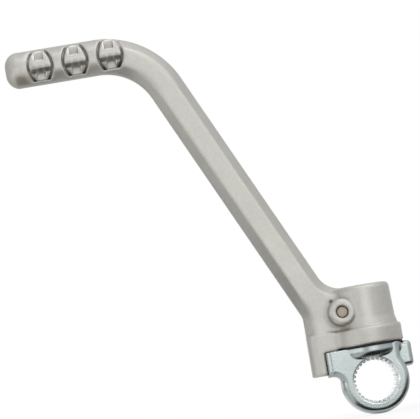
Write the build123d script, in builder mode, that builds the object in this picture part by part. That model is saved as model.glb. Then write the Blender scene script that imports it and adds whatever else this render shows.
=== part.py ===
"""Folding kick start lever: a splined steel hub with a stud, and an aluminium arm that folds on it.

Frame: the origin is the centre of the splined bore. Y is the kick shaft's axis, Z is the fold axis,
X points away from the peg. Sizes are in millimetres.
"""
import os
from math import atan2, cos, degrees, radians, sin

from build123d import *

# Splined bore and ring of the hub
hub_depth = 24.0
spline_teeth = 30
spline_tip_r = 10.25
spline_root_r = 11.2
spline_gap_inner = 1.1
spline_gap_outer = 0.7
rim_r = 11.86
rear_rim_r = 11.25
ring_r = 16.75
hub_round = 2.8
spline_bite = 0.2

# Flange, lugs and stud of the hub
flange_r = 16.2
flange_top = 17.3
flange_thick = 2.2
flange_cove_r = 3.6
neck_half = 13.0
lug_end = 23.0
lug_bottom = 5.0
lug_right_end = 14.0
lug_fillet = 4.0
edge_keep = 1.4
stud_r = 9.75
stud_top = 43.4
stud_chamfer = 0.9

# Folding stops
fold_angle = 95.0
stop_gap = 0.3
ear_r = 23.0
ear_side = 20.7
ear_front = 4.0
ear_bottom = 4.5
ear_round = 2.4
ear_corner = 2.2
dog_inner_r = 18.8

# Arm: bend corner of the two centre lines, lean of the arm from the fold axis, and the forged section
corner_x = -88.1
corner_z = 183.4
arm_lean = 24.7
bend_r = 36.0
arm_width = 17.7
arm_flat = 9.2
arm_depth = 17.0
arm_land = 4.0
arm_edge_round = 0.8

# Peg
peg_tip_x = -157.0
peg_height = 18.0
peg_depth = 17.0
peg_flat = 7.4
peg_land = 7.4
peg_edge_round = 6.0
peg_end_r = 9.3
peg_end_round = 7.2

# Cleats on the peg
cleat_count = 3
cleat_pitch = 17.75
cleat_first_x = -103.8
pocket_arc_r = 11.6
pocket_arc_shift = 4.85
pocket_inner = 4.0
pocket_bottom = -7.4
moat_width = 1.3
moat_depth = 1.8
crest_drop = 1.0
crest_reach = 9.2
crest_upper_end = 7.6
crest_upper_depth = 5.6
undercut_drop = 3.4
undercut_depth = 6.5
pad_drop = 0.7
notch_width = 4.6
notch_upper = 3.0
notch_lower = 3.4
notch_depth = 4.9

# Boss, collar and leg of the arm
boss_r = 14.8
boss_foot_r = 15.3
boss_top = 48.3
boss_round = 2.4
collar_r = 17.6
collar_bottom = 18.4
collar_top = 27.2
collar_round = 1.4
boss_flare = 0.9
boss_flare_height = 4.0
boss_flare_round = 6.0
neck_fillet = 6.0
neck_inset = 0.2
neck_top = 42.0
neck_round = 5.0
bore_clearance = 0.05
bore_end_gap = 0.8
leg_left = -30.4
leg_front = 9.6
leg_back = 8.5
leg_bottom = 6.2
leg_round = 4.5
leg_edge_round = 1.0
shoulder_fillet = 5.0
ramp_top = 35.0
ramp_right = -22.0
ramp_side = 5.0
web_fillet = 12.8
knee_round = 7.0
web_overlap = 22.0
web_reach = 25.0
web_bottom = 20.0
web_right = 3.0

# Retaining pin and its boss
pin_r = 3.0
pin_x = -11.2
pin_z = 36.3
pin_front = -13.9
pin_back = 7.3
pin_chamfer = 0.4
pin_groove_clearance = 0.1
pin_hole_clearance = 0.02
pin_boss_r = 6.8
pin_boss_front = -15.2
pin_boss_round = 1.7
pin_boss_flare = 2.0
pin_rim = 0.5

# Detent and seal
ball_r = 3.0
ball_offset = 5.0
ball_rise = 1.1
detent_clearance = 0.1
detent_depth = 15.0
dimple_depth = 0.3
spring_wire_r = 0.4
spring_r = 2.3
spring_turns = 4
spring_sides = 6
seal_r = 17.0
seal_bore_gap = 0.3
seal_thick = 0.9

# Derived places
hub_half = hub_depth / 2
flange_bottom = flange_top - flange_thick
arm_half = arm_depth / 2
land_half = arm_land / 2
lean = radians(arm_lean)
along = (sin(lean), -cos(lean))
across = (cos(lean), sin(lean))
bevel_width = (arm_width - arm_flat) / 2
bevel = degrees(atan2(bevel_width, arm_half - land_half))
tangent_length = bend_r * sin((radians(90) - lean) / 2) / cos((radians(90) - lean) / 2)
boss_draft = (boss_foot_r - boss_r) / (boss_top - collar_top)
bore_r = stud_r + bore_clearance
bore_end = stud_top + bore_end_gap
leg_inner = -lug_end - stop_gap
ball_z = stud_top + ball_rise - ball_r
detent_r = ball_r + detent_clearance
detent_floor = stud_top - detent_depth
spring_seat = ball_z - ((ball_r + spring_wire_r) ** 2 - spring_r**2) ** 0.5
spring_height = spring_seat - detent_floor - spring_wire_r - detent_clearance
groove_r = pin_r + pin_groove_clearance


def on_arm(distance, offset):
    """Point of the arm's mid-plane, a distance down its axis from the bend corner and off to its right."""
    return (
        corner_x + distance * along[0] + offset * across[0],
        corner_z + distance * along[1] + offset * across[1],
    )


knee_distance = (leg_left - corner_x + arm_width / 2 * across[0]) / along[0]
knee = on_arm(knee_distance, -arm_width / 2)
crotch_distance = (boss_top - corner_z - arm_width / 2 * across[1]) / along[1]
crotch = on_arm(crotch_distance, arm_width / 2)
web_join = crotch_distance - web_reach
web_start = web_join - web_overlap

os.makedirs("parts", exist_ok=True)

# Front half of the hub: ring and long lug in one outline, with a rounded front edge
with BuildPart() as hub_front:
    with BuildSketch(Plane.XZ) as front_outline:
        Circle(ring_r)
        with Locations(((lug_right_end - lug_end) / 2, (flange_top + lug_bottom) / 2)):
            Rectangle(lug_end + lug_right_end, flange_top - lug_bottom)
        inner_corners = front_outline.vertices().filter_by_position(Axis.X, -ring_r, ring_r)
        fillet(inner_corners.filter_by_position(Axis.Y, lug_bottom, flange_top - lug_fillet), lug_fillet)
    extrude(amount=hub_half)
    front_face = hub_front.faces().sort_by(Axis.Y)[0]
    fillet(front_face.edges().filter_by_position(Axis.Z, -ring_r, flange_top - edge_keep), hub_round)

# Rear half of the hub: the ring and a neck under the flange
with BuildPart() as hub_rear:
    with BuildSketch(Plane.XZ) as rear_outline:
        Circle(ring_r)
        with Locations((0, flange_top)):
            Rectangle(2 * neck_half, flange_top, align=(Align.CENTER, Align.MAX))
    extrude(amount=-hub_half)
    rear_face = hub_rear.faces().sort_by(Axis.Y)[-1]
    fillet(rear_face.edges().filter_by_position(Axis.Z, -ring_r, flange_top - edge_keep), hub_round)

# Stop ear at the rear of the hub
with BuildPart() as ear:
    with BuildSketch(Plane.XY.offset(ear_bottom)) as ear_outline:
        Circle(ear_r)
        with Locations((ear_side / 2, ear_r - ear_front)):
            Rectangle(ear_side, 2 * ear_r, mode=Mode.INTERSECT)
        with Locations(Rot(0, 0, 90 - fold_angle) * Pos(leg_back + stop_gap, 0)):
            Rectangle(ear_r, 4 * ear_r, align=(Align.MIN, Align.CENTER), mode=Mode.INTERSECT)
    extrude(amount=flange_top - ear_bottom)
    fillet(ear.edges().filter_by(Axis.Z).sort_by(Axis.X)[-2:], ear_round)
    ear_floor = ear.faces().sort_by(Axis.Z)[0]
    fillet(ear_floor.edges().filter_by_position(Axis.X, neck_half, ear_r), ear_corner)
    ear_roof = ear.faces().sort_by(Axis.Z)[-1]
    fillet(ear_roof.edges().filter_by_position(Axis.X, neck_half, ear_r), ear_corner)

# Hub: one forging
with BuildPart() as hub:
    add(hub_front.part)
    add(hub_rear.part)
    add(ear.part)
    with BuildSketch(Plane.XZ):
        with BuildLine():
            cove = RadiusArc(
                (flange_r, flange_bottom),
                (flange_r - flange_cove_r, flange_bottom - flange_cove_r),
                flange_cove_r,
            )
            Polyline(
                cove @ 1,
                (0, flange_bottom - flange_cove_r),
                (0, flange_top),
                (flange_r, flange_top),
                cove @ 0,
            )
        make_face()
    revolve(axis=Axis.Z)
    with Locations((0, 0, flange_top)):
        Cylinder(stud_r, stud_top - flange_top, align=(Align.CENTER, Align.CENTER, Align.MIN))
    chamfer(hub.edges().group_by(Axis.Z)[-1], stud_chamfer)
    with BuildSketch(Plane.XZ):
        with Locations((pin_x, pin_z)):
            Circle(groove_r)
    revolve(axis=Axis.Z, mode=Mode.SUBTRACT)
    with Locations((-ball_offset, 0, stud_top)):
        Cylinder(
            detent_r,
            detent_depth,
            align=(Align.CENTER, Align.CENTER, Align.MAX),
            mode=Mode.SUBTRACT,
        )
    with BuildSketch(Plane.XZ):
        Circle(spline_tip_r)
        with PolarLocations(spline_tip_r, spline_teeth):
            Polygon(
                (-spline_bite, -spline_gap_inner / 2),
                (spline_root_r - spline_tip_r, -spline_gap_outer / 2),
                (spline_root_r - spline_tip_r, spline_gap_outer / 2),
                (-spline_bite, spline_gap_inner / 2),
                align=None,
            )
    extrude(amount=hub_depth, both=True, mode=Mode.SUBTRACT)
    with BuildSketch(Plane.XY):
        with BuildLine():
            Polyline((0, -hub_half), (rim_r, -hub_half), (0, rim_r - hub_half), close=True)
        make_face()
        with BuildLine():
            Polyline((0, hub_half), (rear_rim_r, hub_half), (0, hub_half - rear_rim_r), close=True)
        make_face()
    revolve(axis=Axis.Y, mode=Mode.SUBTRACT)
hub.part.label = "hub"
export_step(hub.part, "parts/hub.step")


# Bevelled forging section of the arm, drawn across its axis
arm_plane = Plane(
    origin=(on_arm(tangent_length, 0)[0], 0, on_arm(tangent_length, 0)[1]),
    x_dir=(across[0], 0, across[1]),
    z_dir=(along[0], 0, along[1]),
)
peg_plane = Plane(origin=(corner_x - tangent_length, 0, corner_z), x_dir=(0, 0, 1), z_dir=(1, 0, 0))


def octagon(width, flat, depth, land):
    """Corner points of a bevelled section, width along the section's x and depth along its y."""
    return [
        (width / 2, -land / 2),
        (width / 2, land / 2),
        (flat / 2, depth / 2),
        (-flat / 2, depth / 2),
        (-width / 2, land / 2),
        (-width / 2, -land / 2),
        (-flat / 2, -depth / 2),
        (flat / 2, -depth / 2),
    ]


# Peg with a round end
with BuildPart() as peg:
    with BuildSketch(peg_plane) as peg_section:
        Polygon(*octagon(peg_height, peg_flat, peg_depth, peg_land), align=None)
        fillet(peg_section.vertices(), peg_edge_round)
    extrude(amount=peg_tip_x - corner_x + tangent_length)
    with BuildSketch(Plane.XZ) as peg_end:
        with Locations((peg_tip_x, corner_z)):
            Rectangle(corner_x - peg_tip_x, peg_end_r, align=Align.MIN)
        fillet(peg_end.vertices().sort_by_distance((peg_tip_x, corner_z + peg_end_r))[0], peg_end_round)
    revolve(axis=Axis((corner_x, 0, corner_z), (1, 0, 0)), mode=Mode.INTERSECT)


def peg_core(depth):
    """Length of the peg with its skin taken off to a depth."""
    with BuildPart() as core:
        with BuildSketch(Plane(origin=(0, 0, 0), x_dir=(0, 0, 1), z_dir=(1, 0, 0))) as core_section:
            Polygon(*octagon(peg_height, peg_flat, peg_depth, peg_land), align=None)
            fillet(core_section.vertices(), peg_edge_round)
            offset(amount=-depth, mode=Mode.REPLACE)
        extrude(amount=pocket_arc_r, both=True)
    return core.part


# Notches above and below the crest of a cleat
with BuildPart() as notches:
    with BuildSketch(Plane.XZ.offset(notch_depth)):
        with Locations((0, notch_upper)):
            Rectangle(notch_width, pocket_arc_r, align=(Align.CENTER, Align.MIN))
        with Locations((0, -notch_lower)):
            Rectangle(notch_width, -notch_lower - pocket_bottom, align=(Align.CENTER, Align.MAX))
    extrude(amount=peg_depth)

# Pocket around one cleat, between two arcs and down to the core
with BuildPart() as pocket:
    with BuildSketch(Plane.XZ):
        with Locations((-pocket_arc_shift, 0)):
            Circle(pocket_arc_r)
        with Locations((pocket_arc_shift, 0)):
            Circle(pocket_arc_r, mode=Mode.INTERSECT)
        with Locations((0, pocket_bottom)):
            Rectangle(
                2 * pocket_arc_r,
                2 * pocket_arc_r,
                align=(Align.CENTER, Align.MIN),
                mode=Mode.INTERSECT,
            )
    extrude(amount=peg_depth)
    add(peg_core(moat_depth), mode=Mode.SUBTRACT)
    Box(
        2 * pocket_arc_r,
        pocket_inner,
        pocket_arc_r,
        align=(Align.CENTER, Align.MAX, Align.MIN),
        mode=Mode.SUBTRACT,
    )

# Barrel outline that a cleat and the pad below it share
with BuildPart() as barrel:
    with BuildSketch(Plane.XZ):
        with Locations((-pocket_arc_shift, 0)):
            Circle(pocket_arc_r - moat_width)
        with Locations((pocket_arc_shift, 0)):
            Circle(pocket_arc_r - moat_width, mode=Mode.INTERSECT)
    extrude(amount=peg_depth)

# Pad below the crest, a little under the skin of the peg
with BuildPart() as pad:
    add(peg_core(pad_drop))
    with Locations((0, 0, -undercut_drop)):
        Box(
            2 * pocket_arc_r,
            2 * peg_depth,
            peg_height,
            align=(Align.CENTER, Align.CENTER, Align.MAX),
            mode=Mode.INTERSECT,
        )
    add(barrel.part, mode=Mode.INTERSECT)

# One cleat: a crest along the peg with a steep face below it, above its pad
with BuildPart() as cleat:
    with BuildSketch(Plane.YZ):
        Polygon(
            (0, crest_upper_end),
            (-crest_upper_depth, crest_upper_end),
            (-crest_reach, -crest_drop),
            (-undercut_depth, -undercut_drop),
            (0, -undercut_drop),
            align=None,
        )
    extrude(amount=pocket_arc_r, both=True)
    add(barrel.part, mode=Mode.INTERSECT)
    add(pad.part)

# Flat web between the arm and the boss, bevelled like the arm
with BuildPart() as web:
    with BuildSketch(Plane.XZ.offset(land_half)) as web_outline:
        with BuildLine():
            Polyline(
                on_arm(web_start, -arm_width / 2),
                knee,
                (leg_left, web_bottom),
                (web_right, web_bottom),
                (web_right, boss_top),
                crotch,
                on_arm(web_start, arm_width / 2),
                close=True,
            )
        make_face()
        fillet(web_outline.vertices().sort_by_distance(crotch)[0], web_fillet)
        fillet(web_outline.vertices().sort_by_distance(knee)[0], knee_round)
    extrude(amount=arm_half - land_half, taper=bevel)
    extrude(web_outline.sketch, amount=-land_half)
    mirror(about=Plane.XZ)
    fillet(web.faces().filter_by(Axis.Y).edges(), arm_edge_round)
    split(bisect_by=arm_plane.offset(web_join - tangent_length), keep=Keep.TOP)

# Stop leg beside the hub's long lug, with a thicker dog behind the lug
with BuildPart() as leg:
    with BuildSketch(Plane.XY.offset(leg_bottom)):
        with Locations((leg_left, -leg_front)):
            Rectangle(-leg_left, leg_front + leg_back, align=Align.MIN)
        Circle(dog_inner_r, mode=Mode.SUBTRACT)
    extrude(amount=collar_top - leg_bottom)
    with Locations((leg_inner, stop_gap, flange_top + stop_gap)):
        Box(
            lug_end,
            2 * leg_front,
            flange_top,
            align=(Align.MIN, Align.MAX, Align.MAX),
            mode=Mode.SUBTRACT,
        )
    fillet(leg.edges().filter_by(Axis.Z).group_by(Axis.X)[0], leg_round)
    fillet(leg.faces().sort_by(Axis.Z)[0].edges(), leg_edge_round)

# Collar round the fold axis and the leg's shoulder, blended in plan
with BuildPart() as shoulder:
    with BuildSketch(Plane.XY.offset(collar_bottom)) as shoulder_plan:
        Circle(collar_r)
        with Locations((leg_left, -leg_front)):
            Rectangle(-leg_left, leg_front + leg_back, align=Align.MIN)
        blends = shoulder_plan.vertices().filter_by_position(Axis.X, leg_inner, 0)
        fillet(blends, shoulder_fillet)
        fillet(shoulder_plan.vertices().group_by(Axis.X)[0], leg_round)
    extrude(amount=collar_top - collar_bottom)
    fillet(shoulder.faces().sort_by(Axis.Z)[-1].edges(), collar_round)

# Buttress that fades from the full section of the leg to the bevelled face of the web
with BuildPart() as ramp:
    with BuildSketch(Plane.XY.offset(collar_top - collar_round)):
        Polygon(
            (leg_left, 0),
            (leg_left, leg_round - leg_front),
            (leg_left + leg_round, -leg_front),
            (ramp_right, -leg_front),
            (ramp_right + ramp_side, -arm_half),
            (ramp_right + ramp_side, 0),
            align=None,
        )
    with BuildSketch(Plane.XY.offset(ramp_top)):
        Polygon(
            (leg_left, 0),
            (leg_left, -land_half),
            (leg_left + bevel_width, -arm_half),
            (ramp_right, -arm_half),
            (ramp_right + ramp_side, -arm_half),
            (ramp_right + ramp_side, 0),
            align=None,
        )
    loft(ruled=True)

# Boss on the fold axis, flared into its collar
with BuildPart() as boss:
    with BuildSketch(Plane.XZ) as boss_profile:
        Polygon(
            (0, collar_bottom),
            (boss_foot_r + boss_flare, collar_bottom),
            (boss_foot_r + boss_flare, collar_top),
            (boss_foot_r, collar_top + boss_flare_height),
            (boss_r, boss_top),
            (0, boss_top),
            align=None,
        )
        flare_start = (boss_foot_r, collar_top + boss_flare_height)
        fillet(boss_profile.vertices().sort_by_distance(flare_start)[0], boss_flare_round)
        fillet(boss_profile.vertices().sort_by_distance((boss_r, boss_top))[0], boss_round)
    revolve(axis=Axis.Z)

# Neck that blends the boss into the faces of the web, with the boss's draft on all its sides
with BuildPart() as neck:
    for height in (collar_top, neck_top):
        drawn_in = (height - collar_top) * boss_draft
        with BuildSketch(Plane.XY.offset(height)) as neck_plan:
            Circle(boss_foot_r - neck_inset - drawn_in)
            with Locations((ramp_right + drawn_in, 0)):
                Rectangle(-ramp_right - drawn_in, arm_depth - 2 * drawn_in, align=(Align.MIN, Align.CENTER))
            inner_corners = neck_plan.vertices().filter_by_position(Axis.X, -boss_foot_r, 0)
            fillet(inner_corners, neck_fillet + drawn_in)
    loft(ruled=True)
    fillet(neck.faces().sort_by(Axis.Z)[-1].edges(), neck_round)

# Boss round the retaining pin, flared at its foot
with BuildPart() as pin_boss:
    with BuildSketch(Plane.XY) as pin_boss_profile:
        Polygon(
            (0, 0),
            (pin_boss_r + pin_boss_flare + pin_boss_round, 0),
            (pin_boss_r + pin_boss_flare + pin_boss_round, -arm_half),
            (pin_boss_r, -arm_half),
            (pin_boss_r, pin_boss_front),
            (0, pin_boss_front),
            align=None,
        )
        fillet(pin_boss_profile.vertices().sort_by_distance((pin_boss_r, -arm_half))[0], pin_boss_flare)
        pin_boss_corner = pin_boss_profile.vertices().sort_by_distance((pin_boss_r, pin_boss_front))[0]
        fillet(pin_boss_corner, pin_boss_round)
    revolve(axis=Axis.Y)

# Arm: one forging
with BuildPart() as kick_arm:
    with BuildSketch(arm_plane) as arm_section:
        Polygon(*octagon(arm_width, arm_flat, arm_depth, arm_land), align=None)
        fillet(arm_section.vertices(), arm_edge_round)
    extrude(amount=web_join - tangent_length)
    with BuildLine() as bend_path:
        TangentArc(
            (corner_x - tangent_length, 0, corner_z),
            (on_arm(tangent_length, 0)[0], 0, on_arm(tangent_length, 0)[1]),
            tangent=(1, 0, 0),
        )
    sweep(sections=[peg_section.sketch, arm_section.sketch], path=bend_path.line, multisection=True)
    add(peg.part)
    add(web.part)
    add(leg.part)
    add(shoulder.part)
    add(ramp.part)
    add(boss.part)
    add(neck.part)
    with Locations((pin_x, 0, pin_z)):
        add(pin_boss.part)
    with Locations(*[(cleat_first_x - n * cleat_pitch, 0, corner_z) for n in range(cleat_count)]):
        add(pocket.part, mode=Mode.SUBTRACT)
        add(cleat.part)
        add(notches.part, mode=Mode.SUBTRACT)
    with Locations((0, 0, bore_end)):
        Cylinder(bore_r, bore_end, align=(Align.CENTER, Align.CENTER, Align.MAX), mode=Mode.SUBTRACT)
    with Locations(Location((pin_x, 0, pin_z), (90, 0, 0))):
        Cylinder(pin_r + pin_hole_clearance, 4 * arm_depth, mode=Mode.SUBTRACT)
    with Locations(Location((pin_x, pin_boss_front, pin_z), (90, 0, 0))):
        Cone(
            pin_r,
            pin_r + pin_rim,
            pin_rim,
            align=(Align.CENTER, Align.CENTER, Align.MAX),
            mode=Mode.SUBTRACT,
        )
    with BuildSketch(Plane.XZ):
        with Locations((ball_offset, ball_z)):
            Circle(detent_r)
    revolve(axis=Axis.Z, mode=Mode.SUBTRACT)
    with Locations(Rot(0, 0, 180), Rot(0, 0, 180 + fold_angle)):
        with Locations((ball_offset, 0, ball_z + dimple_depth)):
            Sphere(detent_r, mode=Mode.SUBTRACT)
kick_arm.part.label = "kick_arm"
export_step(kick_arm.part, "parts/kick_arm.step")

# Retaining pin, a dowel with chamfered ends
with BuildPart() as retaining_pin:
    with BuildSketch(Plane.XZ.offset(-pin_back)):
        with Locations((pin_x, pin_z)):
            Circle(pin_r)
    extrude(amount=pin_back - pin_front)
    chamfer(retaining_pin.edges().filter_by(GeomType.CIRCLE), pin_chamfer)
retaining_pin.part.label = "retaining_pin"
export_step(retaining_pin.part, "parts/retaining_pin.step")

# Rubber ring that closes the gap between the flange and the collar
with BuildPart() as dust_seal:
    with BuildSketch(Plane.XY.offset(flange_top)):
        Circle(seal_r)
        Circle(stud_r + seal_bore_gap, mode=Mode.SUBTRACT)
    extrude(amount=seal_thick)
dust_seal.part.label = "dust_seal"
export_step(dust_seal.part, "parts/dust_seal.step")

# Detent ball in the top of the stud
with BuildPart() as detent_ball:
    with Locations((-ball_offset, 0, ball_z)):
        Sphere(ball_r)
detent_ball.part.label = "detent_ball"
export_step(detent_ball.part, "parts/detent_ball.step")

# Coil spring between the hole's floor and the ball
with BuildPart() as detent_spring:
    with BuildLine() as coil:
        Helix(
            spring_height / spring_turns,
            spring_height,
            spring_r,
            center=(-ball_offset, 0, detent_floor + spring_wire_r),
        )
    with BuildSketch(Plane(origin=coil.line @ 0, z_dir=coil.line % 0)):
        RegularPolygon(spring_wire_r, spring_sides)
    sweep(path=coil.line, is_frenet=True)
detent_spring.part.label = "detent_spring"
export_step(detent_spring.part, "parts/detent_spring.step")
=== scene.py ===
"""Looks, light and camera for the folding kick start lever."""
import logging
import math
from dataclasses import dataclass, field
from enum import Enum

import bmesh
import bpy
from mathutils import Matrix, Vector

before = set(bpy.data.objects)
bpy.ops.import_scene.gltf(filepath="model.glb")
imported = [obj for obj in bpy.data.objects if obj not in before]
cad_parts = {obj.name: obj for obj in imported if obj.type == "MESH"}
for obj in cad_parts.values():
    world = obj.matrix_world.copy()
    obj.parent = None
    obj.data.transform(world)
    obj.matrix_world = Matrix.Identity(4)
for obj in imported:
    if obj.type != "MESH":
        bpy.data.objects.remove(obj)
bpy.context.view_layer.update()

logging.basicConfig(level=logging.INFO, format="%(message)s")
LOG = logging.getLogger("kick_lever")

Colour = tuple[float, float, float]
Point = tuple[float, float, float]
Socket = bpy.types.NodeSocket

# Where most values of a noise lie, the turns and openness at which edges begin to wear and are full, and the
# openness at which the painted shade in corners begins and is full
NOISE_RANGE = (0.3, 0.7)
EDGE_TURN = (0.99, 0.85)
EDGE_OPENNESS = (0.3, 0.75)
CORNER_SHADE_OPENNESS = (0.35, 0.95)
WORN_GLOSS = 0.75
RAY_SAMPLES = 8
WHITE = (1.0, 1.0, 1.0, 1.0)

# Places on the peg, in metres
PEG_Z = 0.1834
FIRST_CLEAT_X = -0.1038
CLEAT_PITCH = 0.01775
CLEATS_X = tuple(FIRST_CLEAT_X - CLEAT_PITCH * cleat for cleat in range(3))


class Piece(Enum):
    """Named pieces of the lever."""

    ARM = "kick_arm"
    HUB = "hub"
    PIN = "retaining_pin"
    SEAL = "dust_seal"
    BALL = "detent_ball"
    SPRING = "detent_spring"


class Desk:
    """Adds and links the nodes of one material."""

    def __init__(self, name: str) -> None:
        """Open a new material with its shader and output.

        Args:
            name: The material's name.
        """
        self.material = bpy.data.materials.new(name)
        self.material.use_nodes = True
        self.tree = self.material.node_tree
        self.shader = self.tree.nodes["Principled BSDF"]
        self.output = self.tree.nodes["Material Output"]

    def add(self, kind: str, feeds: dict[str | int, object], **options: object) -> bpy.types.Node:
        """Add a node, set its options and feed its sockets.

        Args:
            kind: The node's type.
            feeds: For each socket a value, or another node's output to link.
            options: Settings of the node itself.

        Returns:
            The new node.
        """
        node = self.tree.nodes.new(kind)
        for option, value in options.items():
            setattr(node, option, value)
        for key, value in feeds.items():
            if isinstance(value, Socket):
                self.tree.links.new(value, node.inputs[key])
            else:
                node.inputs[key].default_value = value
        return node

    def feed(self, key: str, source: Socket) -> None:
        """Link an output to the shader's socket of that name."""
        self.tree.links.new(source, self.shader.inputs[key])

    def place(self) -> Socket:
        """Point on the piece, in metres."""
        return self.add("ShaderNodeTexCoord", {}).outputs["Object"]

    def noise(self, where: Socket, scale: float, detail: float) -> Socket:
        """Cloudy value about one half, with a scale in cycles per metre."""
        feeds = {"Vector": where, "Scale": scale, "Detail": detail}
        return self.add("ShaderNodeTexNoise", feeds).outputs["Fac"]

    def span(self, value: Socket, low: float, high: float, start: float, end: float) -> Socket:
        """Carry a value from the range low to high over to the range start to end."""
        feeds = {"Value": value, "From Min": low, "From Max": high, "To Min": start, "To Max": end}
        return self.add("ShaderNodeMapRange", feeds).outputs["Result"]

    def mix(self, share: Socket, first: Socket | Colour, second: Socket | Colour) -> Socket:
        """Blend two colours by a share of the second."""
        feeds = {"Factor": share}
        for key, colour in (("A", first), ("B", second)):
            feeds[key] = colour if isinstance(colour, Socket) else (*colour, 1.0)
        return self.add("ShaderNodeMix", feeds, data_type="RGBA").outputs["Result"]

    def math(self, operation: str, first: Socket | float, second: Socket | float) -> Socket:
        """Combine two values."""
        return self.add("ShaderNodeMath", {0: first, 1: second}, operation=operation).outputs["Value"]

    def highest(self, values: list[Socket]) -> Socket:
        """Highest of several values."""
        top = values[0]
        for value in values[1:]:
            top = self.math("MAXIMUM", top, value)
        return top


@dataclass(frozen=True)
class Spot:
    """A small round area: its centre, its reach and the length of its faded rim, in metres."""

    at: Point
    reach: float
    rim: float

    def inside(self, desk: Desk, where: Socket, share: float) -> Socket:
        """Value of the share inside the spot, falling to 0 over its rim.

        Args:
            desk: The material's desk.
            where: The point on the piece.
            share: The value inside.

        Returns:
            The socket with that value.
        """
        feeds = {0: where, 1: self.at}
        away = desk.add("ShaderNodeVectorMath", feeds, operation="DISTANCE").outputs["Value"]
        return desk.span(away, self.reach, self.reach + self.rim, share, 0.0)


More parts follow.
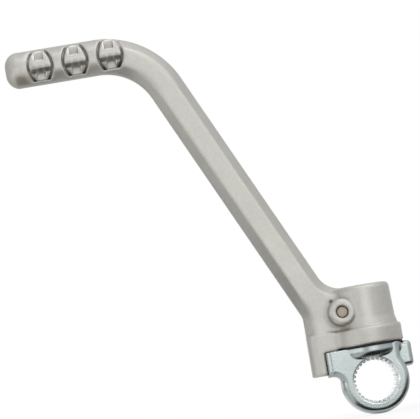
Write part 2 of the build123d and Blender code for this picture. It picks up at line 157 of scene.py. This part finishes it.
@dataclass(frozen=True)
class MetalFinish:
    """A metal surface with mottled tone, uneven gloss, fine grain and worn edges, with painted glints on
    some edges, painted shade in corners, gaps, pits and on the peg's underside, and painted light in spots.

    Scales are in cycles per metre, lengths in metres.
    """

    name: str
    metal: float
    light: Colour
    dark: Colour
    smooth: float
    rough: float
    patch_scale: float
    speck_scale: float
    speck: float
    grain_scale: float
    grain_depth: float
    edge_round: float
    wear: float
    # Colour of worn edges, also painted on edges as glints and inside the bore as light
    bare_and_glint: Colour
    # Painted shade in corners: how far the colour darkens where the surface is closed in, within what reach,
    # and towards which colour; that colour also tints the random specks and the painted shade of pits and
    # under the cleats
    corner_shade: float
    corner_shade_reach: float
    speck_and_shade_colour: Colour
    # Spots where a pit is painted as a dark spot of shade
    pit_shade: tuple[Spot, ...] = ()
    # Spots where the edges are painted fully bright as glints
    glint_spots: tuple[Spot, ...] = ()
    blended: tuple[Spot, ...] = ()
    blend_round: float = 0.004
    # Spots painted near white as light
    bore_light_spots: tuple[Spot, ...] = ()
    # Spots of painted shade low on the peg under the cleats, and their share
    cleat_underside_shade: tuple[Spot, ...] = ()
    cleat_underside_shade_share: float = 0.85
    # Spots of brown painted shade on the peg's underside and in the collar's crease, with their colour and
    # share
    brown_shade_spots: tuple[Spot, ...] = ()
    brown_shade_colour: Colour = (0.36, 0.26, 0.17)
    brown_shade_share: float = 0.45

    def make(self) -> bpy.types.Material:
        """Build the material.

        Returns:
            The finished material.
        """
        desk = Desk(self.name)
        where = desk.place()
        soft = self._soft_edges(desk, where)
        bare_and_glint = self._worn_and_glinting_edges(desk, where, soft)
        patch = desk.noise(where, self.patch_scale, 4.0)
        desk.shader.inputs["Metallic"].default_value = self.metal
        desk.feed("Base Color", self._tone(desk, where, patch, bare_and_glint))
        gloss = desk.span(patch, *NOISE_RANGE, self.smooth, self.rough)
        worn = desk.span(bare_and_glint, 0.0, 1.0, 1.0, WORN_GLOSS)
        desk.feed("Roughness", desk.math("MULTIPLY", gloss, worn))
        grain = desk.noise(where, self.grain_scale, 2.0)
        feeds = {"Strength": 1.0, "Distance": self.grain_depth, "Height": grain, "Normal": soft}
        desk.feed("Normal", desk.add("ShaderNodeBump", feeds).outputs["Normal"])
        return desk.material

    def _soft_edges(self, desk: Desk, where: Socket) -> Socket:
        """Normal with rounded edges, and with wider rounds in the blended spots.

        Args:
            desk: The material's desk.
            where: The point on the piece.

        Returns:
            The normal's socket.
        """
        radius: Socket | float = self.edge_round
        if self.blended:
            share = self._within(desk, where, self.blended)
            radius = desk.span(share, 0.0, 1.0, self.edge_round, self.blend_round)
        return desk.add("ShaderNodeBevel", {"Radius": radius}, samples=RAY_SAMPLES).outputs["Normal"]

    def _worn_and_glinting_edges(self, desk: Desk, where: Socket, soft: Socket) -> Socket:
        """Value along sharp edges, where handling wears through the finish, up to 1 in the glint spots,
        where edges are painted bright as glints.

        Args:
            desk: The material's desk.
            where: The point on the piece.
            soft: The normal with rounded edges.

        Returns:
            The socket with that value.
        """
        flat = desk.add("ShaderNodeNewGeometry", {}).outputs["Normal"]
        turn = desk.add("ShaderNodeVectorMath", {0: soft, 1: flat}, operation="DOT_PRODUCT").outputs["Value"]
        edge = desk.span(turn, *EDGE_TURN, 0.0, 1.0)
        share: Socket | float = self.wear
        if self.glint_spots:
            share = desk.math("MAXIMUM", self._within(desk, where, self.glint_spots), self.wear)
        return desk.math("MULTIPLY", edge, share)

    @staticmethod
    def _within(desk: Desk, where: Socket, spots: tuple[Spot, ...], share: float = 1.0) -> Socket:
        """Value of the share inside the spots and 0 away from them.

        Args:
            desk: The material's desk.
            where: The point on the piece.
            spots: The areas, at least one.
            share: The value inside.

        Returns:
            The socket with that value.
        """
        return desk.highest([spot.inside(desk, where, share) for spot in spots])

    def _tone(self, desk: Desk, where: Socket, patch: Socket, bare_and_glint: Socket) -> Socket:
        """Colour with patches, specks, painted shade in corners and gaps, worn edges with painted glints,
        and the finish's spots of painted shade and painted light.

        Args:
            desk: The material's desk.
            where: The point on the piece.
            patch: The cloudy value.
            bare_and_glint: The value for worn edges and for edges painted bright as glints.

        Returns:
            The colour's socket.
        """
        tone = desk.mix(desk.span(patch, *NOISE_RANGE, 0.0, 1.0), self.dark, self.light)
        speck = desk.span(desk.noise(where, self.speck_scale, 2.0), *NOISE_RANGE, 0.0, self.speck)
        tone = desk.mix(speck, tone, self.speck_and_shade_colour)
        # Painted shade: the colour darkens where ambient occlusion finds the surface closed in, in corners,
        # creases and gaps between parts
        feeds = {"Distance": self.corner_shade_reach}
        openness = desk.add("ShaderNodeAmbientOcclusion", feeds, samples=RAY_SAMPLES).outputs["AO"]
        tone = desk.mix(desk.span(openness, *CORNER_SHADE_OPENNESS, self.corner_shade, 0.0), tone, self.speck_and_shade_colour)
        # Painted shade: brown patches on the peg's underside and in the collar's crease, and darker patches
        # low under the cleats
        for spots, share, colour in (
            (self.brown_shade_spots, self.brown_shade_share, self.brown_shade_colour),
            (self.cleat_underside_shade, self.cleat_underside_shade_share, self.speck_and_shade_colour),
        ):
            tone = self._spotted(desk, where, tone, spots, share, colour)
        # Worn edges, and in the glint spots the notch edges painted bright as glints
        edge = desk.math("MULTIPLY", bare_and_glint, desk.span(openness, *EDGE_OPENNESS, 0.0, 1.0))
        tone = desk.mix(edge, tone, self.bare_and_glint)
        # Painted light: spots where the colour is set near white
        tone = self._spotted(desk, where, tone, self.bore_light_spots, 1.0, self.bare_and_glint)
        # Painted shade: a pit shows as a dark spot
        return self._spotted(desk, where, tone, self.pit_shade, 1.0, self.speck_and_shade_colour)

    def _spotted(
        self, desk: Desk, where: Socket, tone: Socket, spots: tuple[Spot, ...], share: float, colour: Colour
    ) -> Socket:
        """Lay spots of one colour over the tone.

        Args:
            desk: The material's desk.
            where: The point on the piece.
            tone: The colour below.
            spots: The areas, or none.
            share: How much of the colour covers the tone inside them.
            colour: The spots' colour.

        Returns:
            The colour's socket, unchanged without spots.
        """
        if not spots:
            return tone
        return desk.mix(self._within(desk, where, spots, share), tone, colour)


@dataclass(frozen=True)
class RubberFinish:
    """Matt black rubber with a faint bloom."""

    name: str
    dark: Colour
    bloom: Colour
    roughness: float
    patch_scale: float
    grain_scale: float
    grain_depth: float

    def make(self) -> bpy.types.Material:
        """Build the material."""
        desk = Desk(self.name)
        where = desk.place()
        patch = desk.noise(where, self.patch_scale, 3.0)
        desk.feed("Base Color", desk.mix(patch, self.dark, self.bloom))
        desk.shader.inputs["Roughness"].default_value = self.roughness
        feeds = {"Distance": self.grain_depth, "Height": desk.noise(where, self.grain_scale, 2.0)}
        desk.feed("Normal", desk.add("ShaderNodeBump", feeds).outputs["Normal"])
        return desk.material


ARM_FINISH = MetalFinish(
    name="arm_aluminium",
    metal=0.8,
    light=(0.525, 0.515, 0.482),
    dark=(0.482, 0.472, 0.438),
    smooth=0.38,
    rough=0.50,
    patch_scale=70.0,
    speck_scale=1100.0,
    speck=0.14,
    grain_scale=1900.0,
    grain_depth=0.00007,
    edge_round=0.0018,
    wear=0.12,
    bare_and_glint=(0.95, 0.94, 0.91),
    corner_shade=0.5,
    corner_shade_reach=0.0035,
    speck_and_shade_colour=(0.16, 0.145, 0.125),
    # Painted shade: a casting pit beside the pin boss, as a dark spot
    pit_shade=(Spot(at=(-0.0156, -0.0088, 0.0424), reach=0.0007, rim=0.0008),),
    # Brown painted shade: in the crease at the top of the collar, and low on the peg near its end and
    # between the cleats
    brown_shade_spots=(
        Spot(at=(-0.0118, -0.0125, 0.0283), reach=0.0006, rim=0.0034),
        Spot(at=(-0.1490, -0.0075, 0.1775), reach=0.0010, rim=0.0050),
        Spot(at=(-0.1130, -0.0080, 0.1775), reach=0.0004, rim=0.0030),
        Spot(at=(-0.1305, -0.0080, 0.1775), reach=0.0004, rim=0.0030),
    ),
    blended=(
        Spot(at=(-0.0132, -0.0080, 0.0457), reach=0.0025, rim=0.003),
        Spot(at=(-0.0275, -0.0085, 0.0360), reach=0.006, rim=0.006),
        Spot(at=(-0.0800, -0.0085, 0.1720), reach=0.010, rim=0.006),
        Spot(at=(-0.1500, -0.0060, PEG_Z), reach=0.008, rim=0.004),
    ),
    # Painted glints: the edges of the notches at the top and bottom of each cleat are painted bright
    glint_spots=tuple(
        Spot(at=(middle, -0.0070, PEG_Z + rise), reach=reach, rim=0.0010)
        for middle in CLEATS_X
        for rise, reach in ((0.0052, 0.0030), (-0.0046, 0.0024))
    ),
    # Painted shade: dark patches low on the peg's front, under each cleat and on both sides of it
    cleat_underside_shade=tuple(
        Spot(at=(middle + aside, -0.0080, PEG_Z - 0.0021), reach=0.0009, rim=0.0020)
        for middle in CLEATS_X
        for aside in (-0.0034, 0.0, 0.0034)
    ),
)
HUB_FINISH = MetalFinish(
    name="plated_steel",
    metal=1.0,
    light=(0.405, 0.45, 0.446),
    dark=(0.354, 0.395, 0.391),
    smooth=0.23,
    rough=0.33,
    patch_scale=150.0,
    speck_scale=1800.0,
    speck=0.08,
    grain_scale=900.0,
    grain_depth=0.00003,
    edge_round=0.0005,
    wear=0.8,
    bare_and_glint=(0.93, 0.96, 0.96),
    corner_shade=0.5,
    corner_shade_reach=0.0012,
    speck_and_shade_colour=(0.05, 0.055, 0.055),
    # Painted light: inside the bore the colour is near white, standing in for light through the bore, on
    # broached steel free of plating
    bore_light_spots=tuple(Spot(at=(0.0, 0.005 * step, 0.0), reach=0.0118, rim=0.0003) for step in range(-2, 3)),
)
PIN_FINISH = MetalFinish(
    name="pin_steel",
    metal=1.0,
    light=(0.42, 0.365, 0.30),
    dark=(0.31, 0.265, 0.215),
    smooth=0.35,
    rough=0.5,
    patch_scale=600.0,
    speck_scale=3000.0,
    speck=0.2,
    grain_scale=2500.0,
    grain_depth=0.00004,
    edge_round=0.0003,
    wear=0.3,
    bare_and_glint=(0.5, 0.45, 0.4),
    corner_shade=0.9,
    corner_shade_reach=0.0025,
    speck_and_shade_colour=(0.05, 0.04, 0.03),
)
BALL_FINISH = MetalFinish(
    name="ball_steel",
    metal=1.0,
    light=(0.78, 0.78, 0.78),
    dark=(0.70, 0.70, 0.70),
    smooth=0.06,
    rough=0.14,
    patch_scale=300.0,
    speck_scale=3000.0,
    speck=0.05,
    grain_scale=4000.0,
    grain_depth=0.000002,
    edge_round=0.0001,
    wear=0.0,
    bare_and_glint=(0.8, 0.8, 0.8),
    corner_shade=0.5,
    corner_shade_reach=0.001,
    speck_and_shade_colour=(0.10, 0.09, 0.07),
)
SPRING_FINISH = MetalFinish(
    name="spring_steel",
    metal=1.0,
    light=(0.50, 0.50, 0.50),
    dark=(0.38, 0.38, 0.38),
    smooth=0.22,
    rough=0.38,
    patch_scale=500.0,
    speck_scale=3000.0,
    speck=0.1,
    grain_scale=3000.0,
    grain_depth=0.00001,
    edge_round=0.0002,
    wear=0.2,
    bare_and_glint=(0.6, 0.6, 0.6),
    corner_shade=0.5,
    corner_shade_reach=0.001,
    speck_and_shade_colour=(0.10, 0.09, 0.07),
)
# Near-black ring between the hub and the arm's collar, which makes the gap there read black; the piece is
# taken for a rubber dust seal
SEAL_FINISH = RubberFinish(
    name="seal_rubber",
    dark=(0.008, 0.008, 0.008),
    bloom=(0.018, 0.017, 0.016),
    roughness=0.78,
    patch_scale=400.0,
    grain_scale=3000.0,
    grain_depth=0.00003,
)


@dataclass(frozen=True)
class SubAssembly:
    """Pieces that move together, each with its finish."""

    title: str
    finishes: dict[Piece, MetalFinish | RubberFinish] = field(default_factory=dict)

    def dress(self) -> None:
        """Give every piece its finish."""
        for piece, finish in self.finishes.items():
            self._coat(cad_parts[piece.value], finish.make())
            LOG.info("%s: dressed %s in %s", self.title, piece.value, finish.name)

    @staticmethod
    def _coat(body: bpy.types.Object, material: bpy.types.Material) -> None:
        """Put one material in all of a piece's slots.

        Args:
            body: The piece.
            material: The finish.
        """
        for slot in body.material_slots:
            slot.material = material


ARM_SIDE = SubAssembly("arm", {Piece.ARM: ARM_FINISH, Piece.PIN: PIN_FINISH})
HUB_SIDE = SubAssembly(
    "hub",
    {Piece.HUB: HUB_FINISH, Piece.SEAL: SEAL_FINISH, Piece.BALL: BALL_FINISH, Piece.SPRING: SPRING_FINISH},
)


def flat_sheet(name: str, place: Matrix, width: float, depth: float) -> bpy.types.Object:
    """Make a flat sheet for the set.

    Args:
        name: The sheet's name.
        place: Where its centre goes and how it is turned.
        width: Its size along its own X, in metres.
        depth: Its size along its own Y, in metres.

    Returns:
        The sheet, linked to the scene.
    """
    mesh = bpy.data.meshes.new(name)
    form = bmesh.new()
    size = Matrix.Diagonal((width, depth, 1.0, 1.0))
    bmesh.ops.create_grid(form, x_segments=1, y_segments=1, size=0.5, matrix=place @ size)
    form.to_mesh(mesh)
    form.free()
    sheet = bpy.data.objects.new(name, mesh)
    bpy.context.scene.collection.objects.link(sheet)
    return sheet


@dataclass(frozen=True)
class Card:
    """A flat grey card beside the set that only shows in reflections."""

    name: str
    centre: Point
    facing: Point
    width: float
    depth: float
    level: float

    def build(self) -> None:
        """Make the card and hide it from the camera."""
        turn = Vector(self.facing).to_track_quat("Z", "Y").to_matrix().to_4x4()
        card = flat_sheet(self.name, Matrix.Translation(self.centre) @ turn, self.width, self.depth)
        desk = Desk(self.name)
        glow = desk.add("ShaderNodeEmission", {"Color": WHITE, "Strength": self.level})
        desk.tree.links.new(glow.outputs["Emission"], desk.output.inputs["Surface"])
        card.data.materials.append(desk.material)
        card.visible_camera = False
        card.visible_shadow = False
        card.visible_diffuse = False


@dataclass(frozen=True)
class Lamp:
    """A soft square lamp turned to the lever."""

    name: str
    at: Point
    size: float
    power: float
    aim: Point = (-0.06, 0.0, 0.09)

    def hang(self) -> None:
        """Hang the lamp."""
        data = bpy.data.lights.new(self.name, "AREA")
        data.size = self.size
        data.energy = self.power
        lamp = bpy.data.objects.new(self.name, data)
        lamp.location = self.at
        lamp.rotation_euler = (Vector(self.aim) - Vector(self.at)).to_track_quat("-Z", "Y").to_euler()
        bpy.context.scene.collection.objects.link(lamp)


@dataclass(frozen=True)
class Studio:
    """Pale floor, soft lamps and grey cards around the lever."""

    floor_z: float = -0.0168
    floor_size: float = 30.0
    floor_colour: Colour = (0.9, 0.9, 0.9)
    floor_glow: float = 0.8
    fade_start: float = 0.15
    fade_end: float = 0.6
    ambient: float = 0.7
    lamps: tuple[Lamp, ...] = (
        Lamp("key_lamp", (0.5, -0.6, 1.5), 1.4, 7.0),
        Lamp("front_lamp", (0.3, -1.6, 0.30), 0.9, 3.8),
    )
    cards: tuple[Card, ...] = (
        Card("hub_card", (0.59, -0.0625, -0.016), (0.0, 0.0, 1.0), 1.22, 0.1, 0.02),
        Card("left_card", (-0.64, 0.50, -0.016), (0.0, 0.0, 1.0), 1.2, 0.9, 0.62),
        Card("peg_card", (-0.17, -0.10, -0.016), (0.0, 0.0, 1.0), 0.14, 0.3, 0.1),
        Card("right_card", (0.63, 0.44, -0.016), (0.0, 0.0, 1.0), 1.2, 0.9, 0.6),
        Card("left_front_card", (-0.8, -0.6, 0.07), (0.8, 0.6, 0.0), 1.0, 0.17, 2.8),
        Card("peg_end_card", (-0.6, -0.25, 0.25), (0.9, 0.4, 0.0), 0.4, 0.3, 0.5),
        Card("peg_front_card", (-0.35, -1.2, 0.33), (0.0, 1.0, 0.0), 0.5, 0.4, 0.5),
        Card("back_left_card", (-0.9, 0.75, 0.4), (0.9, -0.6, 0.0), 1.6, 1.4, 0.7),
        Card("back_right_card", (0.9, 0.75, 0.4), (-0.9, -0.6, 0.0), 1.6, 1.4, 0.8),
    )

    def build(self) -> None:
        """Set up the world, the floor, the lamps and the cards."""
        self._world()
        self._floor()
        for lamp in self.lamps:
            lamp.hang()
        for card in self.cards:
            card.build()
        LOG.info("studio: floor, %d lamps and %d cards", len(self.lamps), len(self.cards))

    @staticmethod
    def _seen(tree: bpy.types.NodeTree) -> Socket:
        """Value of 1 for rays of the camera, of a reflection or through glass.

        Args:
            tree: The node tree to add to.

        Returns:
            The socket with that value.
        """
        path = tree.nodes.new("ShaderNodeLightPath")
        total = path.outputs["Is Camera Ray"]
        for name in ("Is Glossy Ray", "Is Transmission Ray"):
            either = tree.nodes.new("ShaderNodeMath")
            either.operation = "MAXIMUM"
            tree.links.new(total, either.inputs[0])
            tree.links.new(path.outputs[name], either.inputs[1])
            total = either.outputs["Value"]
        return total

    def _world(self) -> None:
        """White behind the lever and in its reflections, with a softer light elsewhere."""
        world = bpy.data.worlds.new("studio")
        bpy.context.scene.world = world
        world.use_nodes = True
        tree = world.node_tree
        soft = tree.nodes["Background"]
        white = tree.nodes.new("ShaderNodeBackground")
        for background, level in ((soft, self.ambient), (white, 1.0)):
            background.inputs["Color"].default_value = WHITE
            background.inputs["Strength"].default_value = level
        mix = tree.nodes.new("ShaderNodeMixShader")
        tree.links.new(self._seen(tree), mix.inputs["Fac"])
        tree.links.new(soft.outputs["Background"], mix.inputs[1])
        tree.links.new(white.outputs["Background"], mix.inputs[2])
        tree.links.new(mix.outputs["Shader"], tree.nodes["World Output"].inputs["Surface"])

    def _floor(self) -> None:
        """Pale floor that keeps the lever's shadow, turns white far off and is clear from below."""
        place = Matrix.Translation((0.0, 0.0, self.floor_z))
        floor = flat_sheet("floor", place, self.floor_size, self.floor_size)
        desk = Desk("floor")
        desk.shader.inputs["Base Color"].default_value = (*self.floor_colour, 1.0)
        desk.shader.inputs["Roughness"].default_value = 1.0
        desk.shader.inputs["Specular IOR Level"].default_value = 0.0
        away = desk.add("ShaderNodeVectorMath", {0: desk.place()}, operation="LENGTH").outputs["Value"]
        fade = desk.span(away, self.fade_start, self.fade_end, self.floor_glow, 1.0)
        share = desk.math("MULTIPLY", self._seen(desk.tree), fade)
        white = desk.add("ShaderNodeEmission", {"Color": WHITE, "Strength": 1.0}).outputs["Emission"]
        layers = {0: share, 1: desk.shader.outputs["BSDF"], 2: white}
        top = desk.add("ShaderNodeMixShader", layers).outputs["Shader"]
        clear = desk.add("ShaderNodeBsdfTransparent", {}).outputs["BSDF"]
        below = desk.add("ShaderNodeNewGeometry", {}).outputs["Backfacing"]
        both = desk.add("ShaderNodeMixShader", {0: below, 1: top, 2: clear}).outputs["Shader"]
        desk.tree.links.new(both, desk.output.inputs["Surface"])
        floor.data.materials.append(desk.material)


@dataclass(frozen=True)
class PhotoCamera:
    """Camera that looks at the lever as the photograph does.

    Sizes are in metres and degrees, in the lever's own frame.
    """

    target: Point = (-0.06747, -0.010, 0.09789)
    distance: float = 1.8
    azimuth: float = -1.78
    elevation: float = -3.23
    roll: float = 9.70
    span: float = 0.20993
    sensor: float = 36.0
    farthest: float = 50.0

    def place(self) -> None:
        """Create the camera and make it the scene's own."""
        data = bpy.data.cameras.new("photo_camera")
        data.sensor_fit = "HORIZONTAL"
        data.sensor_width = self.sensor
        data.lens = self.sensor * self.distance / self.span
        data.clip_end = self.farthest
        az = math.radians(self.azimuth)
        el = math.radians(self.elevation)
        look = Vector((-math.sin(az) * math.cos(el), math.cos(az) * math.cos(el), -math.sin(el)))
        turn = Matrix.Rotation(math.radians(self.roll), 3, look)
        level = look.cross(Vector((0.0, 0.0, 1.0))).normalized()
        right = turn @ level
        up = turn @ level.cross(look)
        eye = Vector(self.target) - look * self.distance
        camera = bpy.data.objects.new("photo_camera", data)
        bpy.context.scene.collection.objects.link(camera)
        camera.matrix_world = Matrix.Translation(eye) @ Matrix((right, up, -look)).transposed().to_4x4()
        bpy.context.scene.camera = camera
        angles = (self.azimuth, self.elevation)
        LOG.info("camera: %.2f m away, azimuth %.2f, elevation %.2f", self.distance, *angles)


def main() -> None:
    """Build the scene in order."""
    bpy.context.scene.view_settings.view_transform = "Standard"
    for side in (ARM_SIDE, HUB_SIDE):
        side.dress()
    Studio().build()
    PhotoCamera().place()


if __name__ == "__main__":
    main()
